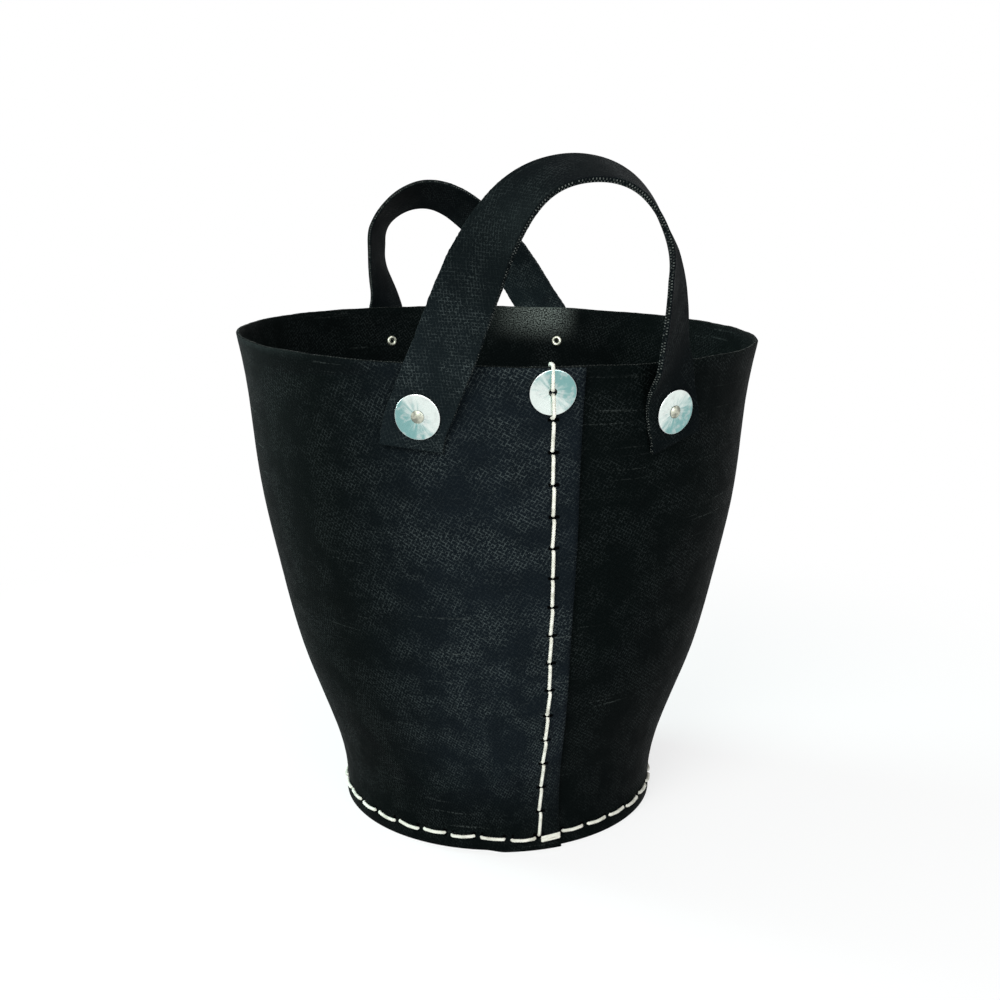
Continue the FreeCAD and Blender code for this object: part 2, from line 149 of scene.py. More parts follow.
FLOOR_RADIUS = 4.0
FLOOR_LEVEL = -0.0006
paper, start = begin("paper")
matt = start.node("ShaderNodeBsdfDiffuse", {}, {"Color": (0.86, 0.86, 0.86, 1)})
glow = start.node("ShaderNodeEmission", {}, {"Color": (1, 1, 1, 1), "Strength": 1.0})
at = start.node("ShaderNodeTexCoord", {}, {}, "Object")
away = start.node("ShaderNodeVectorMath", {"operation": "LENGTH"}, {0: at}, 1)
share = seen(start) * (0.74 + 0.26 * away.over(0.22, 0.80))
sheen = start.node("ShaderNodeMixShader", {}, {0: share, 1: matt, 2: glow})
start.node("ShaderNodeOutputMaterial", {}, {"Surface": sheen})
bm = bmesh.new()
bmesh.ops.create_circle(bm, cap_ends=True, segments=64, radius=FLOOR_RADIUS)
mesh = bpy.data.meshes.new("floor")
bm.to_mesh(mesh)
bm.free()
floor = bpy.data.objects.new("floor", mesh)
floor.location.z = FLOOR_LEVEL
mesh.materials.append(paper)
scene.collection.objects.link(floor)

for name, stand, aim, width, watts, tint in (
        ("key", (-1.0, -1.6, 1.5), (0.0, 0.0, 0.25), 1.1, 40.0, (0.95, 1.0, 0.98)),
        ("front", (0.5, -2.2, 1.0), (0.0, 0.0, 0.25), 0.9, 16.0, (0.93, 0.97, 1.0)),
        ("side", (-1.3, 0.9, 0.8), (0.0, 0.0, 0.25), 0.7, 36.0, (0.72, 1.0, 0.97)),
        ("mouth", (0.25, -0.5, 1.7), (0.0, 0.1, 0.35), 0.5, 6.0, (1.0, 1.0, 1.0))):
    lamp = bpy.data.lights.new(name, "AREA")
    lamp.size = width
    lamp.energy = watts
    lamp.color = tint
    holder = bpy.data.objects.new(name, lamp)
    holder.location = stand
    holder.rotation_euler = (Vector(aim) - Vector(stand)).to_track_quat("-Z", "Y").to_euler()
    scene.collection.objects.link(holder)


# The wall: one sheet of 3 mm rubber with cord in it, cut by hand, rolled up and lapped over
# itself at the front. Its outer end, the flap, runs down beside the seam. Its sections are
# taken from the solid, its grain and the cord ends in its cut edges are the sheet's own.
HEIGHT = 0.370
SHEET = 0.003
LAP_GAP = 0.0003
RIM_FALL = 0.016
FALL_TURN = math.radians(10.8)


def fall(turn, out):
    """How far the rim's slope, down to the right, lowers a point at this distance out."""
    return RIM_FALL * out * math.sin(turn + FALL_TURN)


def place(azimuth, out, height):
    """A point of the bucket, by its azimuth from the seam side, in degrees."""
    a = math.radians(azimuth)
    drop = fall(a, out) * min(height / HEIGHT, 1.0)
    return Vector((out * math.sin(a), -out * math.cos(a), height - drop))


solid = bmesh.new()
solid.from_mesh(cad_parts["wall"].data)
wall_tree = BVHTree.FromBMesh(solid)
solid.free()


def measured_radius(height):
    """The wall's outer radius, where a line from the right meets it."""
    level = place(90.0, 0.19, min(max(height, 0.0004), HEIGHT - 0.0004))
    hit = wall_tree.ray_cast(Vector((0.3, 0.0, level.z)), Vector((-1, 0, 0)))[0]
    return hit.x


LEVELS = 148
radii = [measured_radius(HEIGHT * k / LEVELS) for k in range(LEVELS + 1)]


def radius(height):
    """The wall's outer radius at a height, between the measured levels."""
    at = min(max(height / HEIGHT, 0.0), 1.0) * LEVELS
    k = min(int(at), LEVELS - 1)
    return radii[k] + (radii[k + 1] - radii[k]) * (at - k)


def eased(t):
    t = min(max(t, 0.0), 1.0)
    return t * t * (3 - 2 * t)


LAP_STARTS = 345.0
LAP_RISES = 7.0


def rise(azimuth):
    """How far the lap lifts the outer layer, on its way round to the flap."""
    return (SHEET + LAP_GAP) * eased((azimuth - LAP_STARTS) / LAP_RISES)


SEAM_AT_FOOT = 3.5
SEAM_LEAN = 4.3
FLAP_AT_RIM = 5.5
FLAP_SPREAD = 5.7


def seam_azimuth(height):
    return SEAM_AT_FOOT - SEAM_LEAN * height / HEIGHT


def flap_azimuth(height):
    return FLAP_AT_RIM + FLAP_SPREAD * (1 - height / HEIGHT) ** 3


def bent(name, columns, rows, corner):
    """A grid bent into a tube or a loop, whose last row lies on its first.

    corner(i, j) gives a corner and its two lengths on the piece.
    """
    bm = bmesh.new()
    bmesh.ops.create_grid(bm, x_segments=columns, y_segments=rows, size=0.5)
    lengths = {}
    for vertex in bm.verts:
        i = round((vertex.co.x + 0.5) * columns)
        j = round((vertex.co.y + 0.5) * rows)
        vertex.co, lengths[vertex.index] = corner(i, j)
    layer = bm.loops.layers.uv.new("lengths")
    for face in bm.faces:
        for loop in face.loops:
            loop[layer].uv = lengths[loop.vert.index]
    bmesh.ops.remove_doubles(bm, verts=bm.verts, dist=1e-6)
    bmesh.ops.holes_fill(bm, edges=[e for e in bm.edges if e.is_boundary], sides=0)
    bmesh.ops.recalc_face_normals(bm, faces=bm.faces)
    for face in bm.faces:
        face.smooth = len(face.verts) == 4
    mesh = bpy.data.meshes.new(name)
    bm.to_mesh(mesh)
    bm.free()
    piece = bpy.data.objects.new(name, mesh)
    scene.collection.objects.link(piece)
    return piece


def even_heights(low, high, count):
    return [low + (high - low) * k / count for k in range(count + 1)]


CUT = 0.0004
CUT_SHARES = (0.12, 0.35, 0.65, 0.88)
WALL_ROWS = 74
WALL_COLUMNS = 330
INNER_LAP = 0.014
GRID_RADIUS = 0.165
INSIDE_LENGTH = 0.4
CUT_LENGTH = 0.8
DENT_FROM = 0.08

wall_rows = [(0.0, h, 0.0) for h in even_heights(CUT, HEIGHT - CUT, WALL_ROWS)]
wall_rows += [(-SHEET * t, HEIGHT, 1.0) for t in CUT_SHARES]
wall_rows += [(-SHEET, h, 0.0) for h in even_heights(HEIGHT - CUT, CUT, WALL_ROWS)]
wall_rows += [(-SHEET * t, 0.0, 1.0) for t in CUT_SHARES[::-1]]
wall_rows.append(wall_rows[0])


def wall_corner(i, j):
    """Round the sheet by i, up its outside, over the rim, down its inside and across its foot by j.

    On the sheet's own grid the inside lies INSIDE_LENGTH up from the outside, and the cut rim
    and foot lie CUT_LENGTH up, so that the material can tell them apart.
    """
    out, height, cut = wall_rows[j]
    start = seam_azimuth(height) - math.degrees(INNER_LAP / radius(height))
    azimuth = start + (360.0 + flap_azimuth(height) - start) * i / WALL_COLUMNS
    a = math.radians(azimuth)
    rough = 0.00022 * noise.noise(Vector((azimuth * 1.7, height * 90.0, 0.0)))
    ripple = 0.0007 * noise.noise(Vector((azimuth * 0.09, 7.0, height * 3.0)))
    dent = 0.0009 * noise.noise(Vector((math.sin(a) * 2.6, math.cos(a) * 2.6, height * 14.0))) - 0.0003
    lift = ripple * (height / HEIGHT) ** 6 + (rough if cut else 0.0)
    bulge = dent * min(height / DENT_FROM, 1.0)
    point = place(azimuth, radius(height) + out + rise(azimuth) + bulge, height)
    point.z = max(point.z + (lift if height > 0.2 else 0.0), 0.0)
    up = height + (INSIDE_LENGTH if out <= -SHEET * 0.9 else 0.0) + (CUT_LENGTH - out if cut else 0.0)
    return point, (a * GRID_RADIUS, up)


wall = bent("rolled_wall", WALL_COLUMNS, len(wall_rows) - 1, wall_corner)


def wave(length, period, shift):
    """A sine wave along a length."""
    turn = length * (2 * math.pi / period) + shift
    return turn.maths("SINE", turn)


GRIME = (0.0014, 0.0020, 0.0022, 1)
THREAD = (0.066, 0.080, 0.080, 1)
SPECK = (0.085, 0.100, 0.094, 1)
SCUFF = (0.070, 0.080, 0.076, 1)
CORD_END = (0.17, 0.18, 0.165, 1)
PAINTED_GLARE = (0.15, 0.175, 0.160, 1)
HOLE_PAINTED_SHADE = (0.0004, 0.0004, 0.0005, 1)


def rubber(start, u, v, edge, tone, tones, patch=None, slits=None):
    """Black rubber with cord in it: broken cross threads, scuffs, and cord ends in a cut edge.

    u and v are lengths on the piece, edge is 1 on a cut edge, tone mixes the two tones and brings
    out the threads and specks (painted light on the wall and straps), patch is 1 on a spot of painted
    highlight and slits is 1 in a hole, painted dark as shade.
    """
    flat = start.node("ShaderNodeCombineXYZ", {}, {0: u, 1: v, 2: 0.0})

    def cloud(scale, detail=3.0, stretch=(1.0, 1.0, 1.0)):
        moved = start.node("ShaderNodeVectorMath", {"operation": "MULTIPLY"}, {0: flat, 1: stretch})
        return start.node("ShaderNodeTexNoise", {}, {"Vector": moved, "Scale": scale, "Detail": detail,
                                                    "Roughness": 0.6})

    wander = (cloud(16.0) - 0.5) * 9.0
    first = wave(u * 0.62 + v, 0.0026, wander)
    second = wave(u - v * 0.5, 0.0024, wander * 1.3)
    patchy = cloud(34.0, 4.0).over(0.40, 0.62)
    broken = cloud(480.0, 2.0).over(0.40, 0.60)
    thread = first.maths("MAXIMUM", first, second).over(0.55, 1.0) * broken
    specks = cloud(1500.0, 2.0).over(0.60, 0.72)
    scuff = cloud(30.0, 5.0, (0.4, 12.0, 1.0)).over(0.60, 0.74) * cloud(9.0, 2.0).over(0.45, 0.6)
    base = tone.colour(*tones)
    base = (cloud(45.0) * 0.55).colour(base, GRIME)
    # Where tone is high, the threads and specks are painted to show more. On the wall and straps this is a
    # painted sheen where light rakes them.
    showing = 0.30 + 0.70 * tone
    base = (thread * (0.08 + patchy * 0.50) * showing).colour(base, THREAD)
    base = (specks * (0.12 + patchy * 0.50) * showing).colour(base, SPECK)
    base = (scuff * broken * 0.5).colour(base, SCUFF)
    dots = (wave(u, 0.0020, wander * 0.6) * wave(v, 0.0035, 0.0)).over(0.20, 0.75)
    dots = dots * cloud(260.0, 1.0).over(0.38, 0.56) * edge
    base = (dots * 0.6).colour(base, CORD_END)
    rough = 0.60 + (cloud(90.0) - 0.5) * 0.25 - thread * patchy * 0.15 + edge * 0.2
    height = thread * 0.00010 * (0.45 + patchy * 0.55) * (1.0 - edge) + specks * 0.00006 + dots * 0.0002
    height = height + cloud(320.0, 2.0) * 0.00012
    if patch is not None:
        # A painted highlight: a pale glint laid over the spot that patch marks.
        base = (patch * cloud(900.0, 3.0).over(0.40, 0.64)).colour(base, PAINTED_GLARE)
        rough = rough - patch * 0.18
    if slits is not None:
        # The holes are painted dark: painted shade inside them.
        base = slits.colour(base, HOLE_PAINTED_SHADE)
        rough = rough + slits * 0.4
        height = height - slits * 0.0012
    bump = start.node("ShaderNodeBump", {}, {"Strength": 0.85, "Distance": 1.0, "Height": height})
    skin = start.node("ShaderNodeBsdfPrincipled", {}, {"Base Color": base, "Roughness": rough, "Normal": bump,
                                                      "IOR": 1.05})
    start.node("ShaderNodeOutputMaterial", {}, {"Surface": skin})


SEAM_HOLES = 17
SEAM_SECOND = 0.3356
SEAM_LAST = 0.0105
SEAM_PITCH = (SEAM_SECOND - SEAM_LAST) / (SEAM_HOLES - 2)
STITCHES = 34
STITCH_HEIGHT = 0.0105
STITCH_FIRST = 12.3
STITCH_SPAN = math.degrees(0.0168 / radius(STITCH_HEIGHT))
STITCH_PITCH = (361.8 - STITCH_SPAN - STITCH_FIRST) / (STITCHES - 1)

skin, start = begin("wall_rubber")
across = start.node("ShaderNodeUVMap", {"uv_map": "lengths"}, {})
u = start.node("ShaderNodeSeparateXYZ", {}, {0: across}, 0)
v = start.node("ShaderNodeSeparateXYZ", {}, {0: across}, 1)
at = start.node("ShaderNodeTexCoord", {}, {}, "Object")
x, y, z = (start.node("ShaderNodeSeparateXYZ", {}, {0: at}, k) for k in range(3))
azimuth = x.maths("ARCTAN2", x, 0.0 - y) * (180.0 / math.pi)
far_out = x.maths("SQRT", x * x + y * y)
outside = 1.0 - v.over(0.3705, 0.3725)

# The holes of the seam and of the foot's stitches, as slits in the sheet's outside, painted dark as the shade
# inside them.
off_seam = (azimuth - SEAM_AT_FOOT + z * (SEAM_LEAN / HEIGHT)) * (math.pi / 180.0) * far_out
row = (z - SEAM_LAST) / SEAM_PITCH
row = row - row.maths("ROUND", row)
slit_seam = row.maths("ABSOLUTE", row * SEAM_PITCH).over(0.0015, 0.0007)
slit_seam = slit_seam * (off_seam - 0.0006).maths("ABSOLUTE", off_seam - 0.0006).over(0.0042, 0.0030)
slit_seam = slit_seam * z.over(SEAM_SECOND + 0.004, SEAM_SECOND + 0.002)
turn = azimuth + (360.0 - STITCH_FIRST)
turn = turn.maths("MODULO", turn, 360.0) / STITCH_PITCH
turn = turn.maths("FRACT", turn) * STITCH_PITCH
near_end = turn.maths("ABSOLUTE", turn - STITCH_SPAN)
slit_foot = turn.maths("MINIMUM", turn, near_end).over(0.75, 0.45)
above = z - (STITCH_HEIGHT + 0.0007)
slit_foot = slit_foot * above.maths("ABSOLUTE", above).over(0.0030, 0.0022)
slits = slit_seam.maths("MAXIMUM", slit_seam, slit_foot) * outside

# The front of the sheet up to the flap faces the key lamp. It is painted lighter and bluer, and its threads
# show more there: painted light. A spot inside, under the rim at the back, gets a painted highlight.
cut_edge = v.over(CUT_LENGTH - 0.01, CUT_LENGTH)
# glare: where the painted highlight lies, inside the back wall under the rim.
glare = azimuth.over(146.0, 155.0) * azimuth.over(174.0, 156.0) * z.over(0.336, 0.362) * (1.0 - outside)
above_foot = 1.0 - z / HEIGHT
past_flap = azimuth - FLAP_AT_RIM - above_foot * above_foot * above_foot * FLAP_SPREAD
# front: the lit side, painted lighter as painted light.
front = azimuth.over(-52.0, -14.0) * past_flap.over(0.2, -0.1) * z.over(0.004, 0.090) * outside
WALL_TONES_PLAIN_AND_PAINTED_LIT = ((0.0016, 0.0028, 0.0027, 1), (0.0052, 0.0078, 0.0105, 1))
rubber(start, u, v, cut_edge, front, WALL_TONES_PLAIN_AND_PAINTED_LIT, glare, slits)
wall.data.materials.append(skin)
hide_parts("wall")
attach(wall, "tub")


# The base: a disc of the same rubber, its rim turned down inside the wall and sewn to it.
# Its solid stays, and its grain is laid flat over the disc.
BASE_TONES = ((0.0020, 0.0030, 0.0030, 1), (0.0024, 0.0034, 0.0040, 1))
skin, start = begin("base_rubber")
at = start.node("ShaderNodeTexCoord", {}, {}, "Object")
x, y, z = (start.node("ShaderNodeSeparateXYZ", {}, {0: at}, k) for k in range(3))
rubber(start, x, y + z, z.over(0.0012, 0.0006), x.over(-0.1, 0.1), BASE_TONES)
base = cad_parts["base"]
base.data.materials.clear()
base.data.materials.append(skin)


# The straps: strips of the same rubber, 42 mm wide and 3.5 mm thick, bent over and twisted
# between their two riveted ends. Their long cut edges show rows of pale cord ends and nibs.
STRAP_WIDTH = 0.042
STRAP = 0.0035
STRAP_OFF = 0.0006 + STRAP / 2
STRAP_STEPS = 320
STRAP_TAIL = 0.022
RIM_PASSED = 0.372
LEAVES_ABOVE = 0.0075
LEAVES_OVER = 0.015
FREE_OVER = 0.060
TWIST_REACH = 7

# turn is the strap's side of the tub and rivet and height are where its rivets sit. tails are
# the azimuths of its two ends. left and right are where it passes the rim: azimuth, distance
# off the wall and twist. stations are across, out, up and twist. Angles are in degrees.
FRONT = dict(name="front", turn=0.0, rivet=25.6, height=0.3372, tails=(-27.4, 27.6),
             left=(-20.9, 0.0022, 80.0), right=(22.5, 0.0060, 65.0),
             stations=((-0.0487, 0.2193, 0.4431, 41.8), (-0.0163, 0.2332, 0.4843, 21.6),
                       (0.0288, 0.2314, 0.4865, 15.9), (0.0626, 0.2180, 0.4507, 15.0)))
REAR = dict(name="rear", turn=176.1, rivet=23.3, height=0.3402, tails=(-27.1, 24.2),
            left=(-17.1, 0.0040, 68.0), right=(22.1, 0.0070, 60.0),
            stations=((-0.0066, 0.2187, 0.4454, 42.9), (0.0404, 0.2274, 0.4672, 34.1),
                      (0.0781, 0.2201, 0.4452, 19.0), (0.0845, 0.2079, 0.4105, 24.0)))
UP = Vector((0, 0, 1))


def turned(point, strap):
    return Matrix.Rotation(math.radians(strap["turn"]), 3, "Z") @ Vector(point)


def strap_stations(strap):
    """The strap's middle line from end to end, with its twist at each station."""
    climb = RIM_PASSED - strap["height"]

    def leg(rivet, tail, crossing):
        """Up the wall from the strap's end, over its rivet, to where it passes the rim."""
        azimuth, off, twist = crossing
        steps = [(tail, 0.0, -STRAP_TAIL, 90.0)]
        for k, share in enumerate((0.0, 0.04, 0.45, 1.0)):
            tint_and_reflection_toward = rivet + (azimuth - rivet) * k / 3
            steps.append((tint_and_reflection_toward, off * share, climb * k / 3, 90.0 + (twist - 90.0) * share))
        rows = []
        for a, out, lift, turn in steps:
            level = strap["height"] + lift
            rows.append((place(strap["turn"] + a, radius(level) + STRAP_OFF + out, level), turn))
        return rows

    rows = leg(-strap["rivet"], strap["tails"][0], strap["left"])
    for across, outwards, height, twist in strap["stations"]:
        point = turned((across, -outwards, height), strap)
        drop = fall(math.atan2(point.x, -point.y), point.xy.length)
        rows.append((point - UP * drop, twist))
    return rows + leg(strap["rivet"], strap["tails"][1], strap["right"])[::-1]


def smooth_line(points, steps):
    """A line through the points at even lengths, bending as little as a springy strip would."""
    points = numpy.array(points)
    runs = numpy.linalg.norm(numpy.diff(points, axis=0), axis=1)
    count = len(points)
    bends = numpy.zeros((count, count))
    pulls = numpy.zeros((count, 3))
    for k in range(1, count - 1):
        a, b = runs[k - 1], runs[k]
        bends[k, k - 1:k + 2] = a, 2 * (a + b), b
        pulls[k] = 6 * ((points[k + 1] - points[k]) / b - (points[k] - points[k - 1]) / a)
    bends[0, :3] = runs[1], -(runs[0] + runs[1]), runs[0]
    bends[-1, -3:] = runs[-1], -(runs[-1] + runs[-2]), runs[-2]
    bend = numpy.linalg.solve(bends, pulls)
    fine = []
    for k, run in enumerate(runs):
        for t in numpy.linspace(0.0, 1.0, 60, endpoint=k == len(runs) - 1):
            s = 1 - t
            fine.append(Vector(s * points[k] + t * points[k + 1]
                               + run * run / 6 * ((s**3 - s) * bend[k] + (t**3 - t) * bend[k + 1])))
    return even(fine, steps)


def even(points, steps):
    """The same line at even steps, with the whole length."""
    lengths = [0.0]
    for a, b in zip(points, points[1:]):
        lengths.append(lengths[-1] + (b - a).length)
    line = []
    k = 0
    for step in range(steps + 1):
        want = lengths[-1] * step / steps
        while k < len(points) - 2 and lengths[k + 1] < want:
            k += 1
        share = (want - lengths[k]) / max(lengths[k + 1] - lengths[k], 1e-9)
        line.append(points[k].lerp(points[k + 1], min(max(share, 0.0), 1.0)))
    return line, lengths[-1]


def wall_normal(point):
    """The direction out of the wall's face, from how much it flares over the next 3 mm."""
    low = min(point.z, HEIGHT) - 0.003
    flare = (radius(low + 0.003) - radius(low)) / 0.003
    return (Vector((point.x, point.y, 0)).normalized() - UP * flare).normalized()


def strap_frames(strap, steps):
    """Points along the strap with the directions across it and out of its face."""
    rows = strap_stations(strap)
    line, length = smooth_line([row[0] for row in rows], steps)
    reach = [min(range(steps + 1), key=lambda k: (line[k] - row[0]).length) for row in rows]
    reach[0], reach[-1] = 0, steps
    foot = strap["height"] + LEAVES_ABOVE
    even_twist = numpy.interp(range(steps + 1), reach, [row[1] for row in rows])
    frames = []
    for k, point in enumerate(line):
        twist = even_twist[max(k - TWIST_REACH, 0):k + TWIST_REACH + 1].mean()
        along = (line[min(k + 1, steps)] - line[max(k - 1, 0)]).normalized()
        leave = min(max((point.z - foot) / LEAVES_OVER, 0.0), 1.0)
        rivet_point = rows[1][0] if k < steps / 2 else rows[-2][0]
        flat = wall_normal(rivet_point).lerp(wall_normal(point), leave)
        free = min(max((point.z - RIM_PASSED) / FREE_OVER, 0.0), 1.0)
        out = flat.lerp(turned((0, -1, 0), strap), free)
        out = (out - along * out.dot(along)).normalized()
        turn = math.radians(float(twist))
        face = out.cross(along) * math.cos(turn) + out * math.sin(turn)
        frames.append((point, along.cross(face), face))
    return frames, length


SIDE = STRAP_WIDTH / 2
FACE = STRAP / 2
ACROSS = (0.006, 0.02, 0.1, 0.25, 0.4, 0.5, 0.6, 0.75, 0.9, 0.98, 0.994)
THROUGH = (0.08, 0.24, 0.42, 0.58, 0.76, 0.92)
strap_rows = [(-SIDE + 2 * SIDE * t, FACE, 0.0) for t in ACROSS]
strap_rows += [(SIDE, FACE - 2 * FACE * t, 1.0) for t in THROUGH]
strap_rows += [(SIDE - 2 * SIDE * t, -FACE, 0.0) for t in ACROSS]
strap_rows += [(-SIDE, -FACE + 2 * FACE * t, 1.0) for t in THROUGH]
strap_rows.append(strap_rows[0])
strap_lengths = [0.0]
for (a, b, cut), (c, d, next_cut) in zip(strap_rows, strap_rows[1:]):
    strap_lengths.append(strap_lengths[-1] + math.hypot(c - a, d - b))

STRAP_TONES_PLAIN_AND_PAINTED_LIT = ((0.0026, 0.0040, 0.0046, 1), (0.0062, 0.0094, 0.0110, 1))
skin, start = begin("strap_rubber")
across = start.node("ShaderNodeUVMap", {"uv_map": "lengths"}, {})
u = start.node("ShaderNodeSeparateXYZ", {}, {0: across}, 0)
v = start.node("ShaderNodeSeparateXYZ", {}, {0: across}, 1)
first_edge = v.over(0.0416, 0.0420) * v.over(0.0456, 0.0452)
second_edge = v.over(0.0870, 0.0874)
# The first part of each strap from its left end is painted lighter, and its threads show more there: painted
# light where the lamps catch it.
rubber(start, u, v, first_edge + second_edge, u.over(0.16, 0.06), STRAP_TONES_PLAIN_AND_PAINTED_LIT)

for strap in (FRONT, REAR):
    frames, length = strap_frames(strap, STRAP_STEPS)
    nib = random.Random(11 if strap is FRONT else 12)
    nibs = [[nib.uniform(-1, 1) for j in range(len(strap_rows))] for i in range(STRAP_STEPS + 1)]

    def strap_corner(i, j):
        """Along the strap by i, round its section by j."""
        point, across, face = frames[i]
        side, thick, cut = strap_rows[j]
        j = j % (len(strap_rows) - 1)
        rough = 0.00030 * max(nibs[i][j], -0.3) * cut * math.copysign(1, side)
        sway = noise.noise(Vector((i * 0.06, math.copysign(3.0, side), strap["turn"])))
        ripple = 0.0006 * sway * abs(side) / SIDE
        return (point + across * (side + rough + math.copysign(ripple, side)) + face * thick,
                (length * i / STRAP_STEPS, strap_lengths[j]))

    piece = bent(strap["name"] + "_strip", STRAP_STEPS, len(strap_rows) - 1, strap_corner)
    piece.data.materials.append(skin)
    name = strap["name"]
    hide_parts(name + "_handle", name + "_strap_left", name + "_strap_right")
    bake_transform(piece)


# The sewing cord: an off-white cord of three strands, 2.6 mm thick. One cord sews the seam,
# its middle over the rim and both ends crossing at each hole. One runs round the foot, and
# one ties down the flap's lower corner.
CORD = 0.0026
CORD_BEND = 0.0016
CORD_STEP = 0.0008
LAY = 0.0060
SIDES = 12


def off_wall(azimuth, height, across, out):
    """A point beside a hole: across to the right on the outer face, out off that face."""
    lift = rise(azimuth + 360.0 if azimuth < 180.0 else azimuth)
    a = math.radians(azimuth)
    outward = wall_normal(Vector((math.sin(a), -math.cos(a), height)))
    right = Vector((math.cos(a), math.sin(a), 0))
    return place(azimuth, radius(height) + lift, height) + right * across + outward * out


def rounded(corners, bend):
    """The route through the corners, each one drawn round on a short curve."""
    points = [corners[0]]
    for before, corner, after in zip(corners, corners[1:], corners[2:]):
        into = before - corner
        away = after - corner
        first = corner + into.normalized() * min(bend, into.length * 0.45)
        last = corner + away.normalized() * min(bend, away.length * 0.45)
        for k in range(5):
            t = k / 4
            points.append(first * (1 - t) ** 2 + corner * (2 * t * (1 - t)) + last * t * t)
    return points + [corners[-1]]


def twisted_cord(name, corners, diameter, bend, finish):
    """A three-strand cord along a route: a ring of corners at each step, turned with the lay."""
    route = rounded(corners, bend)
    total = sum((b - a).length for a, b in zip(route, route[1:]))
    steps = int(total / CORD_STEP)
    line, total = even(route, steps)
    rings = []
    side = (line[1] - line[0]).cross(Vector((0.3, 0.5, 0.8))).normalized()
    for k, point in enumerate(line):
        along = (line[min(k + 1, steps)] - line[max(k - 1, 0)]).normalized()
        side = (side - along * side.dot(along)).normalized()
        other = along.cross(side)
        turn = 2 * math.pi * total * k / steps / LAY
        ring = []
        for n in range(SIDES):
            a = 2 * math.pi * n / SIDES
            lobe = diameter / 2 * (0.70 + 0.30 * abs(math.cos(1.5 * (a - turn))))
            ring.append(point + (side * math.cos(a) + other * math.sin(a)) * lobe)
        rings.append(ring)

    def cord_corner(i, j):
        return rings[i][j % SIDES], (total * i / steps, diameter * math.pi * j / SIDES)

    piece = bent(name, steps, SIDES, cord_corner)
    piece.data.materials.append(finish)
    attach(piece, "tub")
    return piece


twine, start = begin("cord")
across = start.node("ShaderNodeUVMap", {"uv_map": "lengths"}, {})
u = start.node("ShaderNodeSeparateXYZ", {}, {0: across}, 0)
v = start.node("ShaderNodeSeparateXYZ", {}, {0: across}, 1)
fibre = (u * 0.55 - v) * (2 * math.pi / 0.00042)
fibre = fibre.maths("SINE", fibre)
flat = start.node("ShaderNodeCombineXYZ", {}, {0: u, 1: v, 2: 0.0})
dust = start.node("ShaderNodeTexNoise", {}, {"Vector": flat, "Scale": 140.0, "Detail": 4.0})
yarn = dust.over(0.42, 0.72).colour((0.80, 0.78, 0.70, 1), (0.52, 0.50, 0.43, 1))
yarn = (fibre.over(-0.2, 0.9) * 0.3).colour(yarn, (0.36, 0.34, 0.28, 1))
fuzz = fibre * 0.00005 + dust * 0.0001
nap = start.node("ShaderNodeBump", {}, {"Strength": 0.7, "Distance": 1.0, "Height": fuzz})
thread = start.node("ShaderNodeBsdfPrincipled", {}, {"Base Color": yarn, "Roughness": 0.85, "Normal": nap,
                                                    "Specular IOR Level": 0.25})
start.node("ShaderNodeOutputMaterial", {}, {"Surface": thread})

LANE = 0.0004
WASHER_DROP = 0.0157
WASHER_EDGE = 0.0152
CROSSING = 0.0018
ON_FACE = 0.0010
ON_WASHER = 0.0030
BEHIND = -0.0076
BASE_RIM = 0.0033
holes = [HEIGHT - WASHER_DROP] + [SEAM_SECOND - SEAM_PITCH * k for k in range(SEAM_HOLES - 1)]
leaning = random.Random(3)


def strand(outside):
    """One end of the seam cord from the top hole down, in and out through each hole."""
    corners = []
    for n, height in enumerate(holes if outside else holes[:-1]):
        over = ON_WASHER if n == 0 else ON_FACE
        behind = BEHIND - (BASE_RIM if height < 0.02 else 0.0)
        level = height + (CROSSING if outside else -CROSSING)
        lane = leaning.uniform(-LANE, LANE) + (-LANE if outside else LANE)
        pair = [off_wall(seam_azimuth(level), level, lane, out) for out in (over, behind)]
        corners += pair if outside else pair[::-1]
        outside = not outside
        if n == 0 and outside:
            edge = height - WASHER_EDGE
            corners.append(off_wall(seam_azimuth(edge), edge, LANE, over))
    return corners


top = HEIGHT + 0.0014
a = seam_azimuth(HEIGHT)
over_rim = [place(a, radius(HEIGHT) - SHEET - 0.0012, top),
            place(a, radius(HEIGHT) + SHEET + 0.0012, top + 0.0004)]
route = strand(False)[::-1] + over_rim + strand(True)
seam = twisted_cord("seam_thread", route, CORD, CORD_BEND, twine)
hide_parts("seam_cord")

BEHIND_FOOT = -0.0085
corners = []
sway = random.Random(5)
for k in range(STITCHES):
    first = STITCH_FIRST + STITCH_PITCH * k
    last = first + STITCH_SPAN
    rise_a = sway.uniform(-0.0008, 0.0010)
    rise_b = sway.uniform(-0.0008, 0.0010)
    for azimuth, out, height in ((first, BEHIND_FOOT, 0.0), (first, 0.0009, rise_a),
                                 ((first + last) / 2, 0.0012, (rise_a + rise_b) / 2 - 0.0005),
                                 (last, 0.0009, rise_b), (last, BEHIND_FOOT, 0.0)):
        level = STITCH_HEIGHT + height
        corners.append(place(azimuth, radius(level) + rise(azimuth) + out, level))
foot = twisted_cord("foot_thread", corners, CORD, CORD_BEND, twine)
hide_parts("base_cord")

